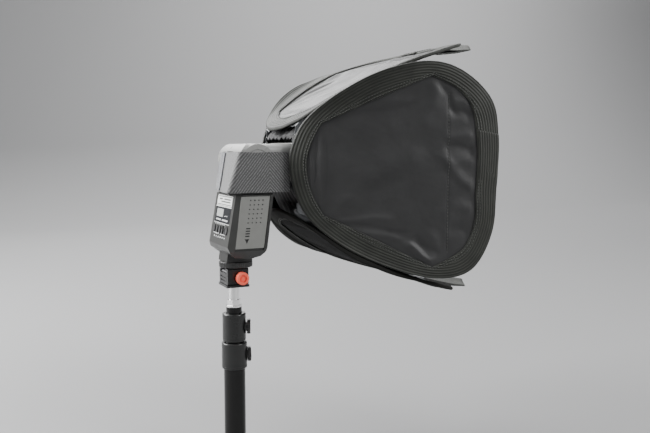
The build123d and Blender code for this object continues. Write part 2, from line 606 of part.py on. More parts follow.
def make_softbox():
    parts = {}
    binding = bulged_sheet(0, BINDING_T) & column_over(panel_outline(0) - panel_outline(BINDING_W))
    binding = mitred(binding)
    binding -= bulged_sheet(1.0, 1.5) & column_over(panel_outline(4.0) - panel_outline(5.4))
    hoop = bulged_sheet(1.1, 1.3) & column_over(panel_outline(4.1) - panel_outline(5.3))
    cloth = bulged_sheet(1.2, CLOTH_T) & column_over(panel_outline(BINDING_W + 0.05))
    hoops = []
    for side, degrees in SIDES.items():
        part = turned(binding, degrees)
        if side == "bottom":
            part &= block((BOTTOM_REAR_X, 400), (-200, 200), (-100, 300))
        parts[f"binding_{side}"] = part
        parts[f"panel_{side}"] = turned(cloth, degrees)
        hoops += turned(hoop, degrees).solids()
    parts["spring_hoops"] = group(*hoops)
    half, inner = DIFFUSER_HALF, DIFFUSER_HALF - 12
    window = ((-inner, inner), (AXIS_Z - inner, AXIS_Z + inner))
    border = block((DIFFUSER_X, DIFFUSER_X + 3.0), (-half, half), (AXIS_Z - half, AXIS_Z + half))
    border = fillet(border.edges().filter_by(Axis.X), 30)
    parts["diffuser"] = block((DIFFUSER_X + 1, DIFFUSER_X + 2.2), *window)
    parts["diffuser_border"] = border - block((DIFFUSER_X - 1, DIFFUSER_X + 5), *window)
    parts["rear_sleeve"] = make_sleeve()
    parts["pull_tabs"] = make_tabs()
    return parts


def funnel(inset):
    """The funnel from the panels' inside to the flash head, moved in by `inset`."""
    grown = -2 * inset
    large = RectangleRounded(118 + grown, 118 + grown, 24 - inset)
    small = RectangleRounded(75 + grown, 49 + grown, 8 - inset)
    front = Plane(origin=(80, 0, AXIS_Z), x_dir=(0, 1, 0), z_dir=(1, 0, 0))
    rear = Plane(origin=(48, 0, 124), x_dir=(0, 1, 0), z_dir=(1, 0, 0))
    return loft([rear * small, front * large])


def make_sleeve():
    sleeve = funnel(0) - funnel(1.2)
    return sleeve - block((40, 100), (-37.5, 37.5), (101.0, 146.5))


def make_tabs():
    """Pull tabs at the middle of the top and bottom panels' front edges."""
    ux, ud, r = bulge_circle()
    slope = math.degrees(math.atan2(ux - FRONT_X, FRONT_D - ud))
    strip = block((-30, TAB_REACH), (-TAB_HALF, TAB_HALF), (0.3, 3.1))
    strip = fillet(strip.edges().filter_by(Axis.Z).group_by(Axis.X)[-1], 5)
    top = Pos(FRONT_X, 0, AXIS_Z + FRONT_D) * Rot(0, -slope * 0.55, 0) * strip
    top = Pos(0, 0, 0.4) * (top - rod_y(ux, AXIS_Z + ud, (-60, 60), r + 0.1))
    top = top.solids().sort_by(SortBy.VOLUME)[-1]
    return group(top, turned(top, 180))


# ---------------------------------------------------------------- strap
def make_strap():
    """Elastic strap: along both cheeks and, leaning, round the back of the head."""
    inner = HEAD_HALF + CHEEK_T + STRAP_GAP
    outer = inner + STRAP_T
    low, high = STRAP_BACK
    outline = [low, (STRAP_FRONT, low[1]), (STRAP_FRONT, high[1]), high]
    hollow = [(x + STRAP_T * 1.05, z) for x, z in (low, high)]
    hollow = [hollow[0], (60, low[1] - 1), (60, high[1] + 1), hollow[1]]
    strap = prism_y(outline, (-outer, outer)) - prism_y(hollow, (-inner, inner))
    end = block((8, 30), (outer, outer + 1.0), (low[1] + 3, high[1] - 3))
    return {"strap": strap, "strap_hook_end": end}


# ---------------------------------------------------------------- write the parts
MAKERS = (
    make_stand,
    make_shoe,
    make_flash_body,
    make_controls,
    make_door,
    make_flash_inside,
    make_foot,
    make_swivel,
    make_head,
    make_softbox,
    make_strap,
)


def main():
    os.makedirs("parts", exist_ok=True)
    count = 0
    for make in MAKERS:
        for name, shape in make().items():
            export_step(Pos(0, 0, STUD_TOP) * shape, f"parts/{name}.step")
            count += 1
    print(count, "parts")


main()
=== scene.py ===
import math
import random

import bpy
import numpy as np
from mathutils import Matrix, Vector, noise


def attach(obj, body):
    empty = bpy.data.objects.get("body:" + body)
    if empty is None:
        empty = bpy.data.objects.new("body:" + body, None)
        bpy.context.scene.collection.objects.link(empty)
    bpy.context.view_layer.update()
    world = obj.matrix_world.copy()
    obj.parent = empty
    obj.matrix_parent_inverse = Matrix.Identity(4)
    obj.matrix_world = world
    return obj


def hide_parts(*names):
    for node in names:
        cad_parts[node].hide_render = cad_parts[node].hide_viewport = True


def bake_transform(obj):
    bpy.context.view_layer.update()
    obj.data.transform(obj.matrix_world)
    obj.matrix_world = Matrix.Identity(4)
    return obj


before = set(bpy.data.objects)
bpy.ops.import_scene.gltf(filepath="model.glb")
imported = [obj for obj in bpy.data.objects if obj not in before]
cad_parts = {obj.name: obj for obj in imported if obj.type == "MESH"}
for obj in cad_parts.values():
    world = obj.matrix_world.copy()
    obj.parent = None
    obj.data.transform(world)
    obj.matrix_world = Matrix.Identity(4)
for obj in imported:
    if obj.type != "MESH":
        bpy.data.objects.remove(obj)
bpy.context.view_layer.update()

RANDOM = random.Random(7)

# The part's driving dimensions, in metres. X is the aim and Z is up. The origin is the foot of the column.
MM = 0.001
STUD_TOP = 175 * MM
AXIS_Z = STUD_TOP + 118 * MM  # the softbox's axis
REAR_X, FRONT_X = 45 * MM, 230 * MM  # the panels' rear and front ends
REAR_D, FRONT_D = 43 * MM, 131 * MM  # their distance from the axis there
BULGE = 14 * MM  # how far they bow out half way
HOOP_CENTRE = (138.0, 0.0)  # mm, the point that a panel's rim is drawn round
SEAM_X = 181 * MM
DIFFUSER_X, DIFFUSER_HALF = 184 * MM, 107 * MM
TAB_START, TAB_HALF, TAB_BACK = 206 * MM, 14 * MM, 50 * MM  # TAB_BACK is the length of its folded-back layer
NECK_X, NECK_LENGTH = 51 * MM, 33 * MM
NECK_SILVER_Y = 21 * MM  # silver shows on the neck's top within this distance of the middle, less below
STRAP_Z = (STUD_TOP + 96.2 * MM, STUD_TOP + 135.9 * MM)  # lower and upper edge
STRAP_REAR_NEAR = (-16.2 * MM, -3.6 * MM)  # x behind the head at those edges, on the near side
STRAP_REAR_FAR = (-6.4 * MM, -1.2 * MM)  # and on the far side
STRAP_FRONT, STRAP_SIDE, STRAP_T = 46.5 * MM, 35.2 * MM, 1.3 * MM
STRAP_STEPS = 280
BODY_TOP, BODY_REAR_X = 94.0, -6.8  # mm, the flash body's top above the stud and its rear face's x there
DOOR_Y = -34.0  # mm, the battery door's outer face
REAR_LEAN, DOOR_LEAN = math.radians(10.2), math.radians(7.6)


# ------------------------------------------------------------------------------------------ materials
WAVE_PITCH = 0.314  # metres between bands when a wave texture's scale is 1


class Surface:
    """A Principled material, with short ways to add nodes to it."""

    def __init__(self, name, color, rough, **sockets):
        self.mat = bpy.data.materials.new(name)
        self.mat.use_nodes = True
        self.tree = self.mat.node_tree
        self.shader = self.tree.nodes["Principled BSDF"]
        self.set("Base Color", (*color, 1.0))
        self.set("Roughness", rough)
        for socket, value in sockets.items():
            self.set(socket.replace("_", " "), value)
        self.coords = None

    def set(self, socket, value):
        self.shader.inputs[socket].default_value = value

    def node(self, kind, inputs=(), **settings):
        node = self.tree.nodes.new("ShaderNode" + kind)
        for key, value in settings.items():
            setattr(node, key, value)
        for key, value in dict(inputs).items():
            if isinstance(value, bpy.types.NodeSocket):
                self.tree.links.new(value, node.inputs[key])
            else:
                node.inputs[key].default_value = value
        return node

    def place(self, kind="Object"):
        if self.coords is None:
            self.coords = self.node("TexCoord")
        return self.coords.outputs[kind]

    def noise(self, scale, detail=3.0, kind="Object", stretch=(1, 1, 1)):
        vector = self.node("Mapping", {"Vector": self.place(kind), "Scale": stretch}).outputs[0]
        return self.node("TexNoise", {"Vector": vector, "Scale": scale, "Detail": detail}).outputs["Fac"]

    def wave(self, scale, turn=0.0, kind="UV", distortion=0.0):
        """Sine bands; on a UV map in metres their pitch is WAVE_PITCH / scale."""
        vector = self.node("Mapping", {"Vector": self.place(kind), "Rotation": (0, 0, turn)}).outputs[0]
        inputs = {"Vector": vector, "Scale": scale, "Distortion": distortion, "Detail": 1.0}
        return self.node("TexWave", inputs, wave_type="BANDS", bands_direction="X").outputs["Fac"]

    def math(self, operation, a, b=0.5):
        return self.node("Math", {0: a, 1: b}, operation=operation).outputs[0]

    def band(self, fac, low, high):
        """fac, stretched so that low becomes 0 and high becomes 1."""
        return self.node("MapRange", {"Value": fac, "From Min": low, "From Max": high}, clamp=True).outputs[0]

    def tint(self, fac, dark, light):
        ramp = self.node("ValToRGB", {"Fac": fac})
        ramp.color_ramp.elements[0].color = (*dark, 1)
        ramp.color_ramp.elements[1].color = (*light, 1)
        self.tree.links.new(ramp.outputs[0], self.shader.inputs["Base Color"])

    def rough(self, fac, low, high):
        scaled = self.node("MapRange", {"Value": fac, "To Min": low, "To Max": high})
        self.tree.links.new(scaled.outputs[0], self.shader.inputs["Roughness"])

    def bump(self, height, depth, strength=1.0):
        inputs = {"Height": height, "Distance": depth, "Strength": strength}
        last = self.shader.inputs["Normal"].links
        if last:
            inputs["Normal"] = last[0].from_socket
        node = self.node("Bump", inputs)
        self.tree.links.new(node.outputs[0], self.shader.inputs["Normal"])


def scaled(color, k):
    return tuple(c * k for c in color)


def moulded(name, color, rough, grain=0.05 * MM, **sockets):
    """Moulded plastic: a fine spark-eroded grain, and handling marks that change the gloss."""
    s = Surface(name, color, rough, **sockets)
    s.tint(s.noise(90), scaled(color, 0.88), scaled(color, 1.12))
    s.rough(s.noise(60, 5), rough - 0.07, rough + 0.09)
    s.bump(s.noise(2600, 2), grain, 0.35)
    return s


def metal(name, color, rough, brushed=0.0, **sockets):
    s = Surface(name, color, rough, Metallic=1.0, **sockets)
    s.rough(s.noise(120, 4), rough * 0.8, rough * 1.25 + 0.02)
    if brushed:
        s.bump(s.noise(900, 2, stretch=(1, 1, 0.06)), 0.02 * MM, brushed)
    return s


def woven(name, color, rough, pitch=0.45 * MM, depth=0.06 * MM, **sockets):
    """Plain woven nylon: two crossed sets of threads, in UV metres."""
    s = Surface(name, color, rough, **sockets)
    across = s.wave(WAVE_PITCH / pitch)
    along = s.wave(WAVE_PITCH / pitch, math.pi / 2)
    weave = s.math("MAXIMUM", across, along)
    soft = s.noise(40, 4)
    s.tint(s.math("MULTIPLY", weave, soft), scaled(color, 0.75), scaled(color, 1.6))
    s.rough(soft, rough - 0.06, rough + 0.08)
    s.bump(weave, depth, 0.5)
    s.bump(s.noise(55, 4), 1.2 * MM, 0.16)
    return s


def ribbed_webbing(name, color):
    """Edge webbing: ribs along its length, with a fine diagonal weave on each."""
    s = Surface(name, color, 0.6, Specular_IOR_Level=0.35, Sheen_Weight=0.1, Sheen_Roughness=0.4)
    ribs = s.wave(WAVE_PITCH / (2.7 * MM), math.pi / 2)
    weave = s.wave(WAVE_PITCH / (1.1 * MM), math.pi / 4)
    both = s.math("ADD", s.math("MULTIPLY", ribs, 0.7), s.math("MULTIPLY", weave, 0.3))
    wear = s.band(s.noise(70, 4), -0.2, 0.8)
    s.tint(s.math("MULTIPLY", both, wear), scaled(color, 0.3), scaled(color, 2.1))
    s.bump(ribs, 0.45 * MM, 0.7)
    s.bump(weave, 0.15 * MM, 0.6)
    return s


def twill_elastic(name, color):
    """Broad elastic with twill lines, whose direction changes every 42 mm."""
    s = Surface(name, color, 0.7, Sheen_Weight=0.45, Sheen_Roughness=0.45)
    one = s.wave(WAVE_PITCH / (2.3 * MM), math.radians(40))
    other = s.wave(WAVE_PITCH / (2.3 * MM), math.radians(-40))
    side = s.band(s.wave(WAVE_PITCH / (84 * MM), 0.0), 0.49, 0.51)
    mixed = s.node("Mix", {"Factor": side, 2: one, 3: other}).outputs[0]
    mixed = s.math("MULTIPLY", mixed, s.band(s.noise(700, 2), 0.1, 0.8))
    s.tint(mixed, scaled(color, 0.35), scaled(color, 2.1))
    s.bump(mixed, 0.35 * MM, 0.8)
    return s


def cloth_materials(m):
    satin = {"Specular_IOR_Level": 0.3, "Sheen_Weight": 0.05, "Sheen_Roughness": 0.3}
    m["nylon"] = woven("black_nylon", (0.031, 0.031, 0.0312), 0.47, **satin)
    m["webbing"] = ribbed_webbing("ribbed_webbing", (0.023, 0.0245, 0.020))
    # darker, duller copies of the nylon and webbing for the bottom panel: painted shade
    m["nylon_painted_shade"] = woven("painted_shade_black_nylon", (0.008, 0.008, 0.008), 0.8, Specular_IOR_Level=0.06)
    m["webbing_painted_shade"] = woven("painted_shade_webbing", (0.012, 0.012, 0.011), 0.8, 1.4 * MM, Specular_IOR_Level=0.06)
    m["tab"] = ribbed_webbing("tab_webbing", (0.06, 0.062, 0.056))
    m["lining"] = woven("silver_lining", (0.16, 0.165, 0.17), 0.34, Metallic=0.3)
    m["neck"] = woven("black_neck_cloth", (0.009, 0.009, 0.010), 0.62)
    m["diffuser"] = woven("white_diffuser", (0.83, 0.83, 0.82), 0.7, 0.6 * MM, Subsurface_Weight=0.15)
    m["hem"] = ribbed_webbing("white_hem", (0.62, 0.62, 0.60))
    m["elastic"] = twill_elastic("grey_elastic", (0.098, 0.098, 0.098))
    loop = Surface("hook_and_loop", (0.085, 0.09, 0.1), 0.95, Sheen_Weight=0.8)
    fuzz = loop.noise(1700, 4)
    loop.tint(fuzz, (0.04, 0.043, 0.05), (0.17, 0.18, 0.2))
    loop.bump(fuzz, 0.8 * MM, 0.9)
    m["loop"] = loop
    thread = Surface("thread", (0.075, 0.078, 0.072), 0.7)
    thread.bump(thread.noise(2500), 0.1 * MM, 0.5)
    m["thread"] = thread


def flash_materials(m):
    m["body"] = moulded("grained_body", (0.036, 0.0365, 0.0345), 0.36)
    m["head"] = moulded("head_plastic", (0.27, 0.271, 0.262), 0.28)
    # a darker copy of the body plastic for the front shell: painted shade
    m["shell"] = moulded("shaded_shell", (0.022, 0.0222, 0.021), 0.36)
    m["door"] = moulded("door_plastic", (0.19, 0.192, 0.18), 0.42)
    m["collar"] = moulded("collar_plastic", (0.011, 0.0115, 0.011), 0.28, 0.04 * MM)
    m["knob"] = moulded("knob_plastic", (0.013, 0.013, 0.0125), 0.36)
    m["ring"] = moulded("ring_plastic", (0.036, 0.036, 0.035), 0.28, 0.02 * MM)
    m["keys"] = moulded("key_rubber", (0.02, 0.02, 0.021), 0.55)
    m["red_knob"] = moulded("red_knob", (1.0, 0.15, 0.09), 0.4, 0.03 * MM)
    window = Surface("assist_red", (0.16, 0.002, 0.012), 0.12, Transmission_Weight=0.25, Coat_Weight=0.6)
    window.bump(window.noise(300, 2), 0.05 * MM, 0.2)
    m["window"] = window
    m["display"] = moulded("display_glass", (0.012, 0.013, 0.016), 0.14, 0.01 * MM, Coat_Weight=0.5)
    m["plate"] = moulded("blank_label", (0.8, 0.81, 0.79), 0.35, 0.03 * MM)
    m["pale"] = moulded("pale_print", (0.75, 0.76, 0.76), 0.5, 0.01 * MM)
    m["backlight"] = moulded("pale_display_field", (0.42, 0.43, 0.42), 0.3, 0.01 * MM)
    black = (0.004, 0.004, 0.0038)
    m["tube"] = moulded("black_enamelled_tube", black, 0.18, 0.01 * MM, Specular_IOR_Level=0.3)
    m["shoe"] = moulded("black_shoe", (0.009, 0.009, 0.0092), 0.24, 0.02 * MM, Specular_IOR_Level=0.45)
    m["chrome"] = metal("bright_stud", (0.97, 0.97, 0.96), 0.1, 0.2)
    m["steel"] = metal("steel", (0.52, 0.52, 0.53), 0.28, 0.4)
    m["brass"] = metal("contact_brass", (0.75, 0.58, 0.27), 0.25, 0.3)
    m["sleeved"] = moulded("capacitor_sleeve", (0.02, 0.02, 0.06), 0.3)
    board = moulded("circuit_board", (0.02, 0.11, 0.04), 0.4)
    board.bump(board.wave(60, 0.3, "Object", distortion=6.0), 0.1 * MM, 0.5)
    m["board"] = board
    m["lens"] = Surface("ribbed_lens", (0.93, 0.93, 0.94), 0.16, Transmission_Weight=0.75, IOR=1.49)
    m["lens"].bump(m["lens"].wave(150, math.pi / 2, "Object"), 0.3 * MM, 0.6)
    m["mirror"] = metal("reflector_metal", (0.9, 0.9, 0.9), 0.12, 0.2)
    m["glass"] = Surface("flash_tube_glass", (0.95, 0.95, 0.95), 0.05, Transmission_Weight=0.9)
    m["glass"].bump(m["glass"].noise(200), 0.02 * MM, 0.2)
    m["card"] = moulded("white_card", (0.82, 0.82, 0.82), 0.5)
    floor = Surface("floor", (0.25, 0.25, 0.252), 0.9)
    floor.bump(floor.noise(8, 2), 1 * MM, 0.1)
    m["floor"] = floor


def make_materials():
    surfaces = {}
    cloth_materials(surfaces)
    flash_materials(surfaces)
    return {key: surface.mat for key, surface in surfaces.items()}


MATERIALS = make_materials()

NODE_MATERIALS = {
    "tube": ["column_tube", "mid_riser", "top_riser"],
    "collar": ["lower_collar", "upper_collar", "column_plug"],
    "knob": ["lower_collar_knob", "upper_collar_knob"],
    "ring": ["lock_ring"],
    "chrome": ["stud"],
    "shoe": ["cold_shoe", "clamp_jaw"],
    "red_knob": ["clamp_knob"],
    "body": ["rear_shell", "swivel_saddle"],
    "shell": ["front_shell"],
    "door": ["battery_door"],
    "head": ["head_top_shell", "head_bottom_shell", "hinge_caps", "head_bezel"],
    "window": ["assist_window"],
    "display": ["display_window"],
    "plate": ["name_plate"],
    "pale": ["indicator_lamps"],
    "keys": ["button_mode", "button_minus", "button_plus", "power_switch", "pilot_button"],
    "steel": ["battery_cells", "door_hinge_pin", "foot_plate", "tilt_axle", "spring_hoops"],
    "brass": ["cell_contacts", "door_contact_plate", "contact_pins"],
    "board": ["circuit_board"],
    "sleeved": ["capacitor"],
    "lens": ["flash_lens", "wide_panel"],
    "mirror": ["reflector"],
    "glass": ["flash_tube"],
    "card": ["catchlight_card"],
}


def paint_cad():
    for key, names in NODE_MATERIALS.items():
        for name in names:
            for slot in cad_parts[name].material_slots:
                slot.material = MATERIALS[key]


# ------------------------------------------------------------------------------------------ mesh helpers
def piece(name, verts, faces, material, body, uv=None, smooth=True):
    """A mesh object from arrays, riding on a body; uv is one (u, v) in metres per vertex."""
    mesh = bpy.data.meshes.new(name)
    mesh.from_pydata([tuple(v) for v in verts], [], [tuple(f) for f in faces])
    if uv is not None:
        layer = mesh.uv_layers.new(name="UVMap")
        index = np.empty(len(mesh.loops), int)
        mesh.loops.foreach_get("vertex_index", index)
        layer.data.foreach_set("uv", np.asarray(uv, float)[index].ravel())
    mesh.materials.append(MATERIALS[material])
    mesh.polygons.foreach_set("use_smooth", [smooth] * len(mesh.polygons))
    mesh.validate()
    obj = bpy.data.objects.new(name, mesh)
    bpy.context.scene.collection.objects.link(obj)
    if body:
        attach(obj, body)
    return obj


def grid_faces(rows, cols, wrap_rows=False, wrap_cols=False, flip=False):
    faces = []
    for i in range(rows if wrap_rows else rows - 1):
        for j in range(cols if wrap_cols else cols - 1):
            k, l = (i + 1) % rows, (j + 1) % cols
            face = (i * cols + j, i * cols + l, k * cols + l, k * cols + j)
            faces.append(face[::-1] if flip else face)
    return faces


def closed_spline(points, count):
    """A smooth closed curve through a few points, sampled evenly by length."""
    p = np.array(points, float)
    n = len(p)
    fine = []
    for i in range(n):
        a, b, c, d = p[i - 1], p[i], p[(i + 1) % n], p[(i + 2) % n]
        for t in np.linspace(0, 1, 24, endpoint=False):
            square, cube = (2 * a - 5 * b + 4 * c - d) * t**2, (3 * b - a - 3 * c + d) * t**3
            fine.append(0.5 * (2 * b + (c - a) * t + square + cube))
    fine = np.array(fine)
    step = np.linalg.norm(np.roll(fine, -1, 0) - fine, axis=1)
    length = np.concatenate([[0], np.cumsum(step)])
    want = np.linspace(0, length[-1], count, endpoint=False)
    closed = np.vstack([fine, fine[:1]])
    return np.stack([np.interp(want, length, closed[:, k]) for k in range(closed.shape[1])], 1)


def by_angle(curve, centre, count):
    """The distances of a star-shaped curve from its centre, at even angles."""
    d = curve - np.array(centre)
    angle, radius = np.arctan2(d[:, 1], d[:, 0]), np.hypot(d[:, 0], d[:, 1])
    order = np.argsort(angle)
    want = np.linspace(-math.pi, math.pi, count, endpoint=False)
    return want, np.interp(want, angle[order], radius[order], period=2 * math.pi)


# ------------------------------------------------------------------------------------------ softbox shape
def hoop_arc():
    """The arc that every panel follows: its centre's x, its centre's distance from the axis, its radius."""
    (ax, ad), (cx, cd) = (REAR_X, REAR_D), (FRONT_X, FRONT_D)
    bx, bd = (ax + cx) / 2, (ad + cd) / 2 + BULGE
    det = 2 * (ax * (bd - cd) + bx * (cd - ad) + cx * (ad - bd))
    sa, sb, sc = ax**2 + ad**2, bx**2 + bd**2, cx**2 + cd**2
    ux = (sa * (bd - cd) + sb * (cd - ad) + sc * (ad - bd)) / det
    ud = (sa * (cx - bx) + sb * (ax - cx) + sc * (bx - ax)) / det
    return ux, ud, math.hypot(ax - ux, ad - ud)


ARC_X, ARC_D, ARC_R = hoop_arc()


def panel_depth(x, v):
    """A panel's distance from the axis: an arc along x, standing out where its edge meets its neighbour's."""
    x = np.clip(x, REAR_X - 3 * MM, FRONT_X + 4 * MM)
    d = ARC_D + np.sqrt(ARC_R**2 - (x - ARC_X) ** 2)
    edge = np.abs(v) + 1.6 * MM
    soft = 3 * MM
    return d + soft * np.logaddexp(0, (edge - d) / soft)


def panel_place(side, x, v, d):
    """Points in the part's frame from panel coordinates: along the aim, across, out from the axis."""
    y, z = {"top": (v, d), "left": (d, -v), "bottom": (-v, -d), "right": (-d, v)}[side]
    return np.stack([x, y, AXIS_Z + z], -1)


def panel_out(side):
    """The direction out from the axis through the middle of a panel."""
    none, one = np.zeros(1), np.ones(1)
    return panel_place(side, none, none, one)[0] - panel_place(side, none, none, none)[0]


def middle_depth(x):
    """A panel's distance from the axis on its middle line."""
    return float(panel_depth(np.array(x), np.array(0.0)))


# A panel's rim and the inner edge of its binding, in mm: (along the aim, across).
RIM = [
    (45.5, 2), (50, 33), (63, 56), (88, 78), (122, 96), (164, 104.5), (196, 94), (222, 68),
    (230, 30), (228, -20), (225, -62), (205, -97), (170, -105.5), (124, -93), (84, -71), (56, -40),
]
INNER = [
    (58, 2), (61, 23), (70, 45), (74, 47.5), (118, 70), (160, 89), (168, 89.5), (191, 77), (204, 57),
    (209, 20), (208, -22), (207, -52), (196, -77), (170, -93), (162, -92.5), (120, -70), (77, -46.5),
    (72, -44), (62, -22),
]
ROUND = 384  # steps round a panel


def rim_curves():
    """Even angles round a panel, and how far its rim and its binding's inner edge are from HOOP_CENTRE."""
    angle, outer = by_angle(closed_spline(RIM, 900), HOOP_CENTRE, ROUND)
    _, inner = by_angle(closed_spline(INNER, 900), HOOP_CENTRE, ROUND)
    return angle, outer * MM, inner * MM


def at_angle(angle, radius):
    """Panel coordinates (x, v) of points given by angle and distance round the hoop's centre."""
    return HOOP_CENTRE[0] * MM + radius * np.cos(angle), HOOP_CENTRE[1] * MM + radius * np.sin(angle)


def make_binding(side):
    """The webbing folded round the hoop: a flat band with a rolled outer edge."""
    angle, outer, inner = rim_curves()
    # profile across the band: (share of the way in, mm out from the panel's surface)
    top = [(k / 26, 0.55 * math.sin(math.pi * k / 26)) for k in range(27)]
    roll = [(-0.035, -0.7), (-0.045, -1.7), (-0.03, -2.7), (0.01, -3.3)]
    under = [(k / 8, -3.3) for k in range(1, 8)] + [(1.0, -1.6), (1.012, -0.8)]
    profile = top + under[::-1] + roll[::-1]
    seed = Vector((3.1 * len(side), 7.7, 0))
    x, v, lift, uv = [], [], [], []
    length = 0.0
    px, pv = at_angle(angle, outer)
    step = np.hypot(np.roll(px, -1) - px, np.roll(pv, -1) - pv)
    for i in range(ROUND):
        width = outer[i] - inner[i]
        wave = noise.noise(seed + Vector((math.cos(angle[i]) * 2.2, math.sin(angle[i]) * 2.2, 0))) * 1.6
        for share, out in profile:
            xi, vi = at_angle(angle[i], outer[i] - width * share)
            small = noise.noise(seed + Vector((xi, vi, 0)) * 60) * 0.35
            x.append(xi)
            v.append(vi)
            lift.append((out + wave * (1 - share) + small) * MM)
            uv.append((length, width * share))
        length += step[i]
    x, v, lift = np.array(x), np.array(v), np.array(lift)
    verts = panel_place(side, x, v, panel_depth(x, v) + lift)
    faces = grid_faces(ROUND, len(profile), wrap_rows=True, wrap_cols=True)
    obj = piece(f"softbox_binding_{side}", verts, faces, "webbing", "head", uv)
    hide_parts(f"binding_{side}")
    return obj


# Folds in a panel's cloth: start, end, half width either side, and height, in mm.
FOLDS = [
    ((92, 55), (150, 61), 3.5, 11, -1.5), ((96, 64), (150, 70), 5, 5, 0.9),
    ((100, -12), (156, 17), 13, 11, 2.6), ((112, -22), (150, -3), 8, 6, -1.0),
    ((178, 24), (207, 21), 4, 6, -2.1), ((176, 34), (206, 33), 5, 5, 1.4),
    ((176, 9), (207, 8), 5, 6, 1.1), ((182, 62), (204, 52), 2.5, 5, -1.9),
    ((182, 69), (200, 64), 4, 4, 1.3), ((174, 14), (206, -22), 6, 4, 2.0),
    ((184, -34), (206, -38), 6, 6, 1.2), ((183, -56), (203, -62), 6, 5, -1.2),
    ((82, -49), (132, -46), 3.0, 5, 1.6), ((84, -52), (146, -61), 2.5, 5, -1.5),
    ((88, -57), (140, -67), 3, 4, 1.2), ((141, -70), (167, -91), 3.5, 4.5, 3.4),
    ((150, -66), (172, -84), 4, 5, -1.8), ((166, -60), (171, -92), 5, 5, 1.4),
    ((168, 60), (168, 88), 5, 5, 1.2), ((172, 85), (190, 52), 3, 4, -1.4),
    ((160, 40), (168, 86), 6, 6, 0.9), ((75, 46), (96, 20), 4, 6, 0.9),
    ((75, -44), (98, -24), 4, 6, 0.9), ((71, 42), (72, -43), 1.6, 9, 1.5),
    ((66, 36), (66, -30), 1.8, 2.0, -1.9), ((63, 22), (62.5, -16), 1.4, 1.6, 1.7),
    ((69, 10), (67, -42), 1.4, 1.6, -1.1), ((120, 20), (170, 35), 16, 16, -0.9),
    ((110, -35), (165, -30), 14, 14, -0.8),
]
SOFTEN = 0.7  # every fold's height is scaled by this


def fold_height(x, v, folds):
    """The folds' total height in metres at points given in metres."""
    total = np.zeros_like(x)
    for (ax, av), (bx, bv), wide_a, wide_b, height in folds:
        a, b = np.array((ax, av)) * MM, np.array((bx, bv)) * MM
        along = b - a
        length = np.hypot(*along)
        t = ((x - a[0]) * along[0] + (v - a[1]) * along[1]) / length**2
        off = ((x - a[0]) * -along[1] + (v - a[1]) * along[0]) / length
        off = off + 1.2 * MM * np.sin(t * 7 + ax)
        width = np.where(off > 0, wide_a, wide_b) * MM
        taper = np.clip(np.minimum(t + 0.12, 1.12 - t) * 3.2, 0, 1)
        total += SOFTEN * height * MM * np.exp(-((off / width) ** 2)) * taper**2 * (3 - 2 * taper)
    return total


def side_folds(side):
    """The near panel's folds as they are; the others get them mirrored and with other heights."""
    if side == "right":
        return FOLDS
    flip = -1 if side in ("top", "left") else 1
    mixed = []
    for (ax, av), (bx, bv), wide_a, wide_b, height in FOLDS:
        shift = RANDOM.uniform(-5, 5)
        ends = ((ax, flip * av + shift), (bx, flip * bv + shift))
        mixed.append((*ends, wide_a, wide_b, height * RANDOM.uniform(0.3, 1.1)))
    return mixed


def make_cloth(side, layer):
    """A panel's cloth: the outer nylon, or the silver lining behind it."""
    angle, _, inner = rim_curves()
    rings = 72
    tuck = 2.6 * MM
    shares = 1 - (np.linspace(0, 1, rings) ** 1.15) * 0.985
    share, turn = np.meshgrid(shares, np.arange(ROUND), indexing="ij")
    radius = (inner[turn] + tuck) * share
    x, v = at_angle(angle[turn], radius)
    tight = np.clip((1 - share) * 9, 0, 1)
    sag = -1.5 * MM - 0.5 * MM * np.sin(math.pi * np.clip(share, 0, 1))
    height = fold_height(x, v, side_folds(side)) * tight + sag
    height -= 0.5 * MM * np.exp(-(((x - SEAM_X) / (0.7 * MM)) ** 2)) * tight
    spots = [Vector((a * 45, b * 45, len(side))) for a, b in zip(x.ravel(), v.ravel())]
    small = [noise.fractal(spot, 1.0, 2.0, 4) for spot in spots]
    height += np.array(small).reshape(x.shape) * 0.35 * MM * tight
    if side == "top":
        # the top cloth also sags, by up to 7 mm
        middle = np.clip((x - 62 * MM) / (SEAM_X - 62 * MM), 0, 1)
        height -= 7 * MM * np.sin(math.pi * middle) * (1 - np.clip(share, 0, 1) ** 2)
    if layer == "lining":
        height -= 1.5 * MM
    verts = panel_place(side, x, v, panel_depth(x, v) + height).reshape(-1, 3)
    uv = np.stack([x, v], -1).reshape(-1, 2)
    centre = len(verts)
    cx, cv = np.array([HOOP_CENTRE[0] * MM]), np.array([0.0])
    centre_point = panel_place(side, cx, cv, panel_depth(cx, cv) + height[-1].mean())
    verts = np.vstack([verts, centre_point])
    uv = np.vstack([uv, [[cx[0], cv[0]]]])
    faces = grid_faces(rings, ROUND, wrap_cols=True)
    last = (rings - 1) * ROUND
    faces += [(last + j, last + (j + 1) % ROUND, centre) for j in range(ROUND)]
    if layer == "cloth":
        faces = [f[::-1] for f in faces]
    material = "nylon" if layer == "cloth" else "lining"
    obj = piece(f"softbox_{layer}_{side}", verts, faces, material, "head", uv)
    if layer == "cloth":
        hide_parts(f"panel_{side}")
    return obj


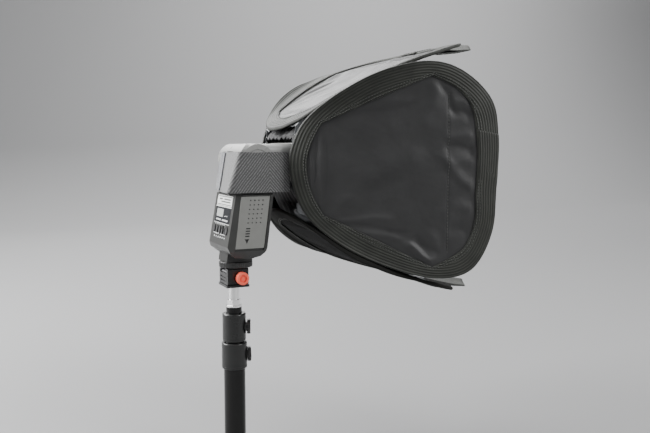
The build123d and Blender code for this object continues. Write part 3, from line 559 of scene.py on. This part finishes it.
def add_stitches(name, places, along, out, size, material="thread", body="head"):
    """Short raised stitches: one small tapered block at each place, lying along its own direction."""
    long, wide, high = size
    foot = [(-1, -1, 0), (1, -1, 0), (1, 1, 0), (-1, 1, 0)]
    ring = foot + [(0.7 * i, 0.6 * j, 1) for i, j, _ in foot]
    block = [(0, 3, 2, 1), (4, 5, 6, 7), (0, 1, 5, 4), (1, 2, 6, 5), (2, 3, 7, 6), (3, 0, 4, 7)]
    verts, faces = [], []
    for p, a, n in zip(places, along, out):
        a, n = Vector(a).normalized(), Vector(n).normalized()
        side = n.cross(a).normalized()
        base = len(verts)
        for i, j, k in ring:
            verts.append(Vector(p) + a * (i * long / 2) + side * (j * wide / 2) + n * (k * high - high * 0.3))
        faces += [tuple(base + i for i in f) for f in block]
    return piece(name, verts, faces, material, body)


def stitch_round(side, share_in, pitch, name):
    """A row of stitches round a binding, share_in of the way in from its outer edge."""
    angle, outer, inner = rim_curves()
    x, v = at_angle(angle, outer - (outer - inner) * share_in)
    line = panel_place(side, x, v, panel_depth(x, v) + 0.3 * MM)
    step = np.linalg.norm(np.roll(line, -1, 0) - line, axis=1)
    total = np.concatenate([[0], np.cumsum(step)])
    want = np.arange(0, total[-1], pitch)
    closed = np.vstack([line, line[:1]])
    at = np.stack([np.interp(want, total, closed[:, k]) for k in range(3)], 1)
    ahead = np.stack([np.interp(want + 0.5 * MM, total, closed[:, k]) for k in range(3)], 1)
    size = (2.0 * MM, 0.5 * MM, 0.45 * MM)
    return add_stitches(name, at, ahead - at, [panel_out(side)] * len(at), size)


def make_seam(side):
    """The stitched seam across the cloth where the diffuser's hook-and-loop strip is sewn behind it."""
    v = np.arange(-80, 74, 3.2) * MM
    x = np.full_like(v, SEAM_X)
    d = panel_depth(x, v) + fold_height(x, v, FOLDS if side == "right" else []) - 1.75 * MM
    at = panel_place(side, x, v, d)
    along = np.gradient(at, axis=0)
    size = (2.0 * MM, 0.4 * MM, 0.4 * MM)
    return add_stitches(f"softbox_seam_{side}", at, along, [panel_out(side)] * len(at), size)


def make_overlap(side):
    """The webbing's ends overlapping at the front edge: the upper lies on top and sinks into the lower."""
    angle, outer, inner = rim_curves()
    rows, cols = 60, 22
    share = np.linspace(-0.03, 0.985, cols)
    slant = 8.5 * (1 - share)[None] * np.linspace(0, 1, rows)[:, None]
    turns = np.radians(np.linspace(-26, 30, rows)[:, None] - slant)
    outer_here = np.interp(turns, angle, outer)
    inner_here = np.interp(turns, angle, inner)
    lift = 0.95 * np.clip(np.linspace(-0.6, 3.0, rows), -1, 1)[:, None] * np.ones(cols)[None]
    lift[:, 0] = lift[:, -1] = -0.9
    lift[-1] = -0.9
    x, v = at_angle(turns, outer_here - (outer_here - inner_here) * share[None])
    verts = panel_place(side, x, v, panel_depth(x, v) + lift * MM).reshape(-1, 3)
    uv = np.stack([turns * 90 * MM, share[None] * 24 * MM + 0 * turns], -1).reshape(-1, 2)
    return piece(f"softbox_overlap_{side}", verts, grid_faces(rows, cols), "webbing", "head", uv)


def make_softbox_panels():
    for side in ("top", "left", "bottom", "right"):
        make_binding(side)
        make_cloth(side, "cloth")
        make_cloth(side, "lining")
        stitch_round(side, 0.93, 3.0 * MM, f"softbox_stitching_inner_{side}")
        stitch_round(side, 0.80, 3.0 * MM, f"softbox_stitching_second_{side}")
        make_seam(side)
        make_overlap(side)
    # painted shade: the underside gets darker, duller copies of the nylon and webbing, standing in for the
    # shade beneath the softbox
    for name, key in (("softbox_binding_bottom", "webbing_painted_shade"), ("softbox_cloth_bottom", "nylon_painted_shade")):
        bpy.data.objects[name].data.materials[0] = MATERIALS[key]


def rounded_square(half_y, half_z, radius, count, middle=(0.0, 0.0)):
    """Evenly spaced points (y, z) round a rectangle with round corners."""
    pts = []
    corners = [(1, 1, 0), (-1, 1, 90), (-1, -1, 180), (1, -1, 270)]
    for sy, sz, start in corners:
        for k in range(25):
            a = math.radians(start + 90 * k / 24)
            y = sy * (half_y - radius) + radius * math.cos(a)
            z = sz * (half_z - radius) + radius * math.sin(a)
            pts.append((y, z))
    pts = np.array(pts)
    closed = np.vstack([pts, pts[:1]])
    total = np.concatenate([[0], np.cumsum(np.linalg.norm(np.diff(closed, axis=0), axis=1))])
    want = np.linspace(0, total[-1], count, endpoint=False)
    y, z = (np.interp(want, total, closed[:, k]) for k in range(2))
    return np.stack([y + middle[0], z + middle[1]], 1)


def thicken(obj, thickness, offset=-1.0):
    """Gives a sheet its thickness, behind its faces or, with offset 0, on both sides."""
    thick = obj.modifiers.new("thickness", "SOLIDIFY")
    thick.thickness = thickness
    thick.offset = offset


def make_neck():
    """The cloth funnel from the panels' inside down to the flash head, gathered where it grips."""
    count, rows = 420, 34
    small = rounded_square(38.5 * MM, 24 * MM, 9 * MM, count, (0, 7.5 * MM))
    large = rounded_square(66 * MM, 66 * MM, 26 * MM, count, (0, 0))
    verts, uv = [], []
    for i in range(rows):
        t = i / (rows - 1)
        ease = t**0.8
        for j in range(count):
            p = small[j] * (1 - ease) + large[j] * ease
            turn = 2 * math.pi * j / count
            gather = math.sin(26 * turn + 2.2 * math.sin(3 * turn)) * (1 - t) ** 1.2
            crumple = noise.fractal(Vector((math.cos(turn) * 4, math.sin(turn) * 4, t * 3)), 1.0, 2.0, 4)
            depth = 0.09 if abs(p[0]) < NECK_SILVER_Y else 0.05
            held = 1 if t < 0.97 else 0.3
            scale = 1 + (0.035 * gather + depth * crumple * math.sin(math.pi * min(t + 0.1, 1))) * held
            x = NECK_X + t * NECK_LENGTH + 1.5 * MM * crumple * (1 - t)
            verts.append((x, p[0] * scale, AXIS_Z + p[1] * scale))
            uv.append((turn * 0.05, t * 0.045))
    obj = piece("softbox_neck", verts, grid_faces(rows, count, wrap_cols=True), "neck", "head", uv)
    obj.data.materials.append(MATERIALS["lining"])
    for face in obj.data.polygons:
        reach = NECK_SILVER_Y if face.center.z > AXIS_Z else 0.45 * NECK_SILVER_Y
        if abs(face.center.y) < reach and face.center.x > 61 * MM:
            face.material_index = 1
    thicken(obj, 0.6 * MM)
    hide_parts("rear_sleeve")
    return obj


def make_corner_lining():
    """Crumpled silver lining that shows in the open rear corners, between the panels' edges and the neck."""
    corner, reach = 15 * MM, 9 * MM
    for index, (sy, sz) in enumerate(((-1, 1), (1, 1), (1, -1), (-1, -1))):
        rows, cols = 40, 60
        verts, uv = [], []
        for i in range(rows):
            t = i / (rows - 1)
            x = (53 + 44 * t) * MM
            d = middle_depth(x) - 4.2 * MM
            for j in range(cols):
                s = j / (cols - 1)
                a = math.radians(90 * s)
                fold = math.sin(15 * s + 3 * math.sin(4 * t + index) + index) * math.sin(math.pi * s)
                rough = noise.fractal(Vector((s * 7 + index * 9, t * 5, 0)), 1.0, 2.0, 4)
                inward = (2.2 * fold + 2.6 * rough * math.sin(math.pi * s) + 2.2 * math.sin(math.pi * s)) * MM
                centre = d - corner - inward
                flat = (1 - math.sin(math.pi * s) ** 0.5) * 0.1
                y = centre + corner * math.sin(a) - flat * MM
                z = centre + corner * math.cos(a) - flat * MM
                y -= reach * max(0.0, 0.18 - s) / 0.18
                z -= reach * max(0.0, s - 0.82) / 0.18
                verts.append((x, sy * y, AXIS_Z + sz * z))
                uv.append((s * 0.045, t * 0.044))
        flip = sy * sz > 0
        name = f"softbox_corner_lining_{index + 1}"
        obj = piece(name, verts, grid_faces(rows, cols, flip=flip), "lining", "head", uv)
        thicken(obj, 0.4 * MM)


def make_diffuser():
    """The white front cloth, a little slack."""
    n, around = 64, 240
    verts, uv = [], []
    half = DIFFUSER_HALF - 8 * MM
    for k in range(n):
        share = (k + 1) / n
        radius = max(34 * MM * (k + 1) / n, 0.05 * MM)
        for y, z in rounded_square(half * (k + 1) / n, half * (k + 1) / n, radius, around):
            slack = 2.2 * (1 - share**2) + 0.9 * math.sin(9 * math.atan2(z, y)) * share**4
            rough = noise.fractal(Vector((y * 18, z * 18, 3)), 1.0, 2.0, 3) * 0.6
            verts.append((DIFFUSER_X + (1.5 - slack + rough) * MM, y, AXIS_Z + z))
            uv.append((y, z))
    verts.append((DIFFUSER_X - 0.7 * MM, 0, AXIS_Z))
    uv.append((0, 0))
    faces = grid_faces(n, around, wrap_cols=True, flip=True)
    faces += [(j, len(verts) - 1, (j + 1) % around) for j in range(around)]
    cloth = piece("softbox_diffuser", verts, faces, "diffuser", "head", uv)
    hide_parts("diffuser")


def make_diffuser_hem():
    """The cloth's sewn hem, a flat loop with round edges."""
    around, width = 300, 13 * MM
    # profile across the hem: (share of the way in, mm in front of the diffuser's place)
    profile = [(0, 1.0), (0.15, 1.7), (0.5, 1.9), (0.85, 1.7), (1, 1.0)]
    profile += [(0.85, -0.2), (0.5, -0.4), (0.15, -0.2)]
    outer = rounded_square(DIFFUSER_HALF, DIFFUSER_HALF, 40 * MM, around)
    inside = rounded_square(DIFFUSER_HALF - width, DIFFUSER_HALF - width, 28 * MM, around)
    verts, uv = [], []
    for j in range(around):
        ripple = 0.5 * math.sin(j * 0.31) * math.sin(j * 0.047)
        for share, out in profile:
            p = outer[j] * (1 - share) + inside[j] * share
            verts.append((DIFFUSER_X + (out + ripple) * MM, p[0], AXIS_Z + p[1]))
            uv.append((j * 2.8 * MM, share * 0.013))
    faces = grid_faces(around, len(profile), wrap_rows=True, wrap_cols=True)
    hem = piece("softbox_diffuser_hem", verts, faces, "hem", "head", uv)
    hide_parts("diffuser_border")


def make_tabs():
    """Webbing pull tabs on the top and bottom panels' front edges: straps folded back at their tips."""
    kinds = (("top", 1, 289 * MM, 4.5, 4.5), ("bottom", -1, 287 * MM, -1.5, 2.0))
    for name, up, reach, twist, gap in kinds:
        rows, cols = 90, 18
        verts, uv = [], []
        for i in range(rows):
            t = i / (rows - 1)
            s = min(t / 0.55, 1)
            back = max(0.0, (t - 0.55) / 0.45)
            turn = min(back / 0.06, 1)
            bend = 1.4 * MM * math.sin(math.pi * turn)
            x = TAB_START + (reach - TAB_START) * s - TAB_BACK * max(0.0, back - 0.03) + bend
            free = max(0.0, x - FRONT_X)
            d = middle_depth(min(x, FRONT_X)) + 0.9 * MM + 0.13 * free
            d -= (1.3 * turn + gap * back) * MM
            for j in range(cols):
                w = -1 + 2 * j / (cols - 1)
                lean = twist * w * min(1.0, free / (40 * MM))
                skew = 8 * MM * min(1.0, free / (40 * MM))
                curl = (0.6 * w * w + 0.5 * math.sin(2.4 * w + 3.5 * s)) * s
                verts.append((x + skew * w, w * TAB_HALF, AXIS_Z + up * (d + (lean - curl) * MM)))
                uv.append((t * 0.13, (w + 1) * TAB_HALF))
        faces = grid_faces(rows, cols, flip=up > 0)
        obj = piece(f"softbox_tab_{name}", verts, faces, "tab", "head", uv)
        thicken(obj, 1.2 * MM)
        if name == "top":
            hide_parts("pull_tabs")
        make_tab_stitches(name, up)


def make_tab_stitches(name, up):
    """The box of stitches that holds a tab on its binding."""
    at, along = [], []
    for w in (-0.82, 0.82):
        for x in np.arange(209, 229, 3.1) * MM:
            at.append((x, w * TAB_HALF))
            along.append((1, 0, 0.25 * up))
    for x in (208 * MM, 229 * MM):
        for w in np.linspace(-0.75, 0.75, 8):
            at.append((x, w * TAB_HALF))
            along.append((0, 1, 0))
    places = []
    for x, y in at:
        d = middle_depth(x) + 1.1 * MM - 0.04 * MM * (y / TAB_HALF) ** 2
        places.append((x, y, AXIS_Z + up * d))
    size = (2.1 * MM, 0.55 * MM, 0.6 * MM)
    add_stitches(f"softbox_tab_stitching_{name}", places, along, [(-0.2, 0, up)] * len(at), size)


# ------------------------------------------------------------------------------------------ strap
def strap_path(h, lift=0.0):
    """The strap's line in plan at height share h, from its near front end round the back to the far one.

    Gives evenly spaced points and their distances along the line.
    """
    near = STRAP_REAR_NEAR[0] + (STRAP_REAR_NEAR[1] - STRAP_REAR_NEAR[0]) * h - lift
    far = STRAP_REAR_FAR[0] + (STRAP_REAR_FAR[1] - STRAP_REAR_FAR[0]) * h - lift
    side = STRAP_SIDE + lift
    small, large = 4.0 * MM, 7.0 * MM  # corner radii, near and far
    quarter = np.linspace(0, math.pi / 2, 14)
    front = STRAP_FRONT + (1 - h) * 1.5 * MM
    path = [(x, -side) for x in np.linspace(front, near + small + 1 * MM, 40)]
    path += [(near + small - small * math.sin(a), -side + small - small * math.cos(a)) for a in quarter]
    for share in np.linspace(0.03, 0.97, 40):
        y = (-side + small) + (2 * side - small - large) * share
        path.append((near + (far - near) * share - 0.9 * MM * math.sin(math.pi * share), y))
    path += [(far + large - large * math.cos(a), side - large + large * math.sin(a)) for a in quarter]
    path += [(x, side) for x in np.linspace(far + large + 1 * MM, front, 36)]
    p = np.array(path)
    total = np.concatenate([[0], np.cumsum(np.linalg.norm(np.diff(p, axis=0), axis=1))])
    want = np.linspace(0, total[-1], STRAP_STEPS)
    return np.stack([np.interp(want, total, p[:, k]) for k in range(2)], 1), want


def across_tilt(obj, thickness):
    """Thickens a strap piece on both sides and bakes its transform into its mesh."""
    thicken(obj, thickness, offset=0)
    bpy.context.view_layer.objects.active = obj
    obj.select_set(True)
    bpy.ops.object.modifier_apply(modifier="thickness")
    obj.select_set(False)
    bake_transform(obj)


def make_strap():
    """The broad elastic strap round the flash head."""
    rows = 48
    verts, uv = [], []
    low, high = STRAP_Z
    for i in range(rows):
        h = i / (rows - 1)
        path, length = strap_path(h)
        for j, (x, y) in enumerate(path):
            ripple = 0.5 * noise.noise(Vector((length[j] * 60, h * 3, 1))) * MM
            wander = 0.7 * noise.noise(Vector((length[j] * 45, 0, 1 - 2 * h))) * MM
            side = max(-1.0, min(1.0, y / (STRAP_SIDE * 0.9)))
            across = min(1.0, max(0.0, (y + STRAP_SIDE) / (2 * STRAP_SIDE)))
            drop = 0.3 * MM * math.sin(math.pi * across) * (1 - h)
            verts.append((x, y + side * ripple, low + (high - low) * h + wander - drop))
            uv.append((length[j], h * (high - low)))
    obj = piece("head_strap", verts, grid_faces(rows, STRAP_STEPS), "elastic", None, uv)
    across_tilt(obj, STRAP_T)
    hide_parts("strap")


def make_strap_end():
    """The strap's hook-and-loop end, lapped over the strap's far rear corner and its far side."""
    rows, cols = 30, 96
    first, last = 0.56, 0.83  # shares of the strap's length
    verts, uv = [], []
    low, high = STRAP_Z
    for i in range(rows):
        h = i / (rows - 1)
        within = 0.03 + 0.95 * h
        path, length = strap_path(within, 1.25 * MM)
        for j in range(cols):
            k = int((first + (last - first) * j / (cols - 1)) * STRAP_STEPS)
            x, y = path[k]
            verts.append((x, y, low + (high - low) * within + 0.3 * MM * math.sin(j * 0.3)))
            uv.append((length[k], h * 0.038))
    obj = piece("head_strap_end", verts, grid_faces(rows, cols), "loop", None, uv)
    across_tilt(obj, 1.1 * MM)
    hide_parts("strap_hook_end")


# ------------------------------------------------------------------------------------------ flash details
REAR_OUT = Vector((-math.cos(REAR_LEAN), 0, math.sin(REAR_LEAN)))
REAR_UP = Vector((math.sin(REAR_LEAN), 0, math.cos(REAR_LEAN)))


def rear_point(y, z, out):
    """A point on the flash's rear face, in mm above the stud, `out` mm off the face."""
    x = BODY_REAR_X + (z - BODY_TOP) * math.tan(REAR_LEAN)
    return Vector((x, y, z)) * MM + Vector((0, 0, STUD_TOP)) + REAR_OUT * out * MM


def rear_prints(name, boxes, material, out=0.32, thick=0.12):
    """Thin raised rectangles on the rear face: (middle y, middle z, width, height) in mm."""
    verts, faces = [], []
    for y, z, w, h in boxes:
        base = len(verts)
        for level in (out - thick, out):
            for dy, dz in ((-1, -1), (1, -1), (1, 1), (-1, 1)):
                middle = rear_point(y, z, level)
                verts.append(middle + Vector((0, dy * w / 2 * MM, 0)) + REAR_UP * (dz * h / 2 * MM))
        b = base
        faces += [(b, b + 1, b + 2, b + 3), (b + 7, b + 6, b + 5, b + 4)]
        faces += [(b + i, b + 4 + i, b + 4 + (i + 1) % 4, b + (i + 1) % 4) for i in range(4)]
    return piece(name, verts, faces, material, "flash_body", smooth=False)


def make_panel_prints():
    """Generic marks on the control panel: blocks and dashes only, with no lettering."""
    rear_prints("display_field", [(9, 74.5, 20, 8)], "backlight", 0.24)
    bars = [(-16 + 3.6 * k, 67.6, 2.4, 1.6) for k in range(5)]
    bars += [(6 + 5 * k, 67.6, 3.2, 1.6) for k in range(3)]
    bars += [(-14, 72.0, 1.4, 1.0), (-9.5, 72.0, 1.2, 1.0), (-6.5, 71.6, 2.0, 0.8)]
    rear_prints("display_marks", bars, "pale", 0.26)
    plate = [(0, 91.0, 42, 0.7), (0, 83.0, 42, 0.7)]
    plate += [(-8, 88.4, 20, 1.2), (12, 88.4, 10, 1.2), (-4, 85.8, 28, 1.2)]
    rear_prints("label_bars", plate, "body", 0.3)
    dots = [(18 - 5.5 * k, 63.2, 1.8, 0.7) for k in range(6)]
    rear_prints("key_marks", dots, "pale", 0.12)
    low = [(19 - 4.4 * k, 53.6, 2.6, 0.9) for k in range(9) if k != 4]
    rear_prints("lower_marks", low, "pale", 0.12)


def make_lcd_rim():
    """Pale bars above and below the display."""
    rear_prints("panel_frame", [(0, 80.9, 47.5, 0.9), (0, 64.3, 47.5, 0.5)], "plate", 0.3, 0.25)


def make_door_marks():
    """On the battery door: a dark printed arrow and dashes beside it, and dark discs in the grip's dimples as
    painted shade.
    """
    shapes = [(DOOR_Y - 0.05, [(2.6, 46.9), (4.7, 50.8), (0.5, 50.8)])]
    for k in range(4):
        x, z = 3.1 + 0.33 * k, 53.2 + 2.5 * k
        shapes.append((DOOR_Y - 0.12, [(x - 2.2, z), (x + 2.2, z), (x + 2.2, z + 1.2), (x - 2.2, z + 1.2)]))
    # dark discs at the dimples' bottoms: painted shade in the recesses
    for column in range(4):
        for row in range(6):
            z = 88.8 - 4.4 * row
            x = 7.6 + 4.3 * column + (z - BODY_TOP) * math.tan(DOOR_LEAN)
            ring = [math.radians(45 * k) for k in range(8)]
            shapes.append((DOOR_Y + 0.2, [(x + 0.62 * math.cos(a), z + 0.62 * math.sin(a)) for a in ring]))
    verts, faces = [], []
    for y, shape in shapes:
        base, n = len(verts), len(shape)
        for level in (y + 0.3, y):
            verts += [(x * MM, level * MM, STUD_TOP + z * MM) for x, z in shape]
        faces.append(tuple(base + i for i in range(n)))
        faces.append(tuple(base + n + i for i in reversed(range(n))))
        faces += [(base + i, base + n + i, base + n + (i + 1) % n, base + (i + 1) % n) for i in range(n)]
    piece("door_marks", verts, faces, "knob", "door", smooth=False)


# ------------------------------------------------------------------------------------------ stage
def make_stage():
    """A pale floor that sweeps up into a backdrop well behind the object."""
    flat_end, radius, wall, left, right = 2.2, 1.4, 3.0, -8, 10
    line = [(y, -0.5 * MM) for y in np.linspace(-4.0, flat_end, 14)]
    for a in np.linspace(0, math.pi / 2, 22)[1:]:
        line.append((flat_end + radius * math.sin(a), radius * (1 - math.cos(a)) - 0.5 * MM))
    line.append((flat_end + radius, radius + wall))
    verts = []
    for y, z in line:
        verts += [(left, y, z), (right, y, z)]
    mesh = bpy.data.meshes.new("floor")
    mesh.from_pydata(verts, [], grid_faces(len(line), 2))
    mesh.materials.append(MATERIALS["floor"])
    mesh.polygons.foreach_set("use_smooth", [True] * len(mesh.polygons))
    floor = bpy.data.objects.new("studio_floor", mesh)
    bpy.context.scene.collection.objects.link(floor)


MIDDLE = Vector((0.08, 0, 0.25))  # the object's middle
WALL = Vector((2.2, 3.6, 1.3))  # the backdrop's right side


def soft_light(name, turn, rise, distance, size, power, target=MIDDLE):
    """An area light aimed at a target from a direction in degrees: turned from +X, raised off the floor."""
    turn, rise = math.radians(turn), math.radians(rise)
    away = Vector((math.cos(turn) * math.cos(rise), math.sin(turn) * math.cos(rise), math.sin(rise)))
    data = bpy.data.lights.new(name, "AREA")
    data.shape = "RECTANGLE"
    data.size, data.size_y = size
    data.energy = power
    lamp = bpy.data.objects.new(name, data)
    lamp.location = target + away * distance
    lamp.rotation_euler = (-away).to_track_quat("-Z", "Y").to_euler()
    bpy.context.scene.collection.objects.link(lamp)


def make_world():
    """Even light from above and from the sides, and little from below."""
    world = bpy.data.worlds.new("studio")
    world.use_nodes = True
    tree = world.node_tree
    coords = tree.nodes.new("ShaderNodeTexCoord")
    split = tree.nodes.new("ShaderNodeSeparateXYZ")
    ramp = tree.nodes.new("ShaderNodeMapRange")
    ramp.inputs["From Min"].default_value = -0.4
    ramp.inputs["From Max"].default_value = 0.7
    ramp.inputs["To Min"].default_value = 0.05
    ramp.inputs["To Max"].default_value = 0.75
    tree.links.new(coords.outputs["Generated"], split.inputs[0])
    tree.links.new(split.outputs["Z"], ramp.inputs["Value"])
    tree.links.new(ramp.outputs[0], tree.nodes["Background"].inputs["Strength"])
    tree.nodes["Background"].inputs["Color"].default_value = (0.97, 0.98, 1.0, 1)
    bpy.context.scene.world = world


def make_lights():
    soft_light("left_light", 154, 26, 1.5, (0.8, 1.1), 58)
    soft_light("right_light", -47, 30, 1.7, (0.9, 1.2), 26)
    soft_light("top_light", 80, 78, 1.9, (1.5, 1.5), 26)
    soft_light("rear_light", 95, 34, 2.6, (2.4, 1.2), 75)
    soft_light("wall_wash", -90, 40, 1.9, (2.6, 0.9), 120, target=WALL)
    make_world()


def make_camera():
    data = bpy.data.cameras.new("camera")
    data.sensor_width = 36
    data.lens = 40.52
    camera = bpy.data.objects.new("camera", data)
    camera.location = (-0.2379, -0.7067, 0.3142)
    camera.rotation_euler = (math.radians(84.7), 0, math.radians(-25.81))
    bpy.context.scene.collection.objects.link(camera)
    bpy.context.scene.camera = camera


make_camera()
make_stage()
make_lights()
paint_cad()
make_softbox_panels()
make_neck()
make_corner_lining()
make_diffuser()
make_diffuser_hem()
make_tabs()
make_strap()
make_strap_end()
make_panel_prints()
make_lcd_rim()
make_door_marks()
